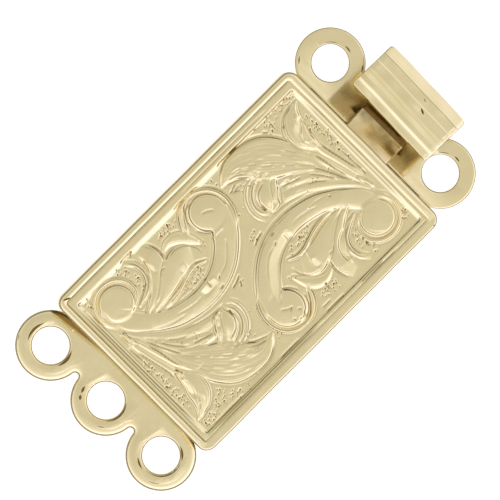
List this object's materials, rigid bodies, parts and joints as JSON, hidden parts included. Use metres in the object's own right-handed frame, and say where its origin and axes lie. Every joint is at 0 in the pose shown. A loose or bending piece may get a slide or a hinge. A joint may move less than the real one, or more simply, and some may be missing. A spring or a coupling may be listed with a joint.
{
  "type": "box clasp",
  "caption": "Rectangular box clasp with a pressed scroll panel, a row of strand rings at each end, and a sprung tongue released by a folded thumb tab.",
  "frame": {"origin": "centre of the box's flat back face", "axes": "+X along the clasp towards the thumb tab, +Z out of the scroll panel, +Y across the clasp"},
  "size_m": [0.025, 0.0117, 0.0032],
  "materials": {
    "frame_gold": "bright gold plate, polished",
    "panel_gold": "bright gold plate over a pressed relief",
    "plate_gold": "bright gold plate, polished",
    "tongue_gold": "bright gold plate, polished",
    "lever_gold": "bright gold plate, polished, with soft wear on the folds"
  },
  "bodies": {
    "case": {"cover_frame": "frame_gold", "scroll_panel": "panel_gold", "back_plate": "plate_gold", "tongue_plate": "tongue_gold"},
    "lever": {"spring_leaf": "lever_gold"}
  },
  "joints": [
    {"name": "tab_press", "type": "hinge", "parent": "case", "child": "lever", "pos_m": [-0.0055, 0, 0.00101], "axis": [0, 1, 0], "range_deg": [0, 2.9], "stiffness_Nm_per_rad": 0.004, "springref_deg": -5.73}
  ]
}
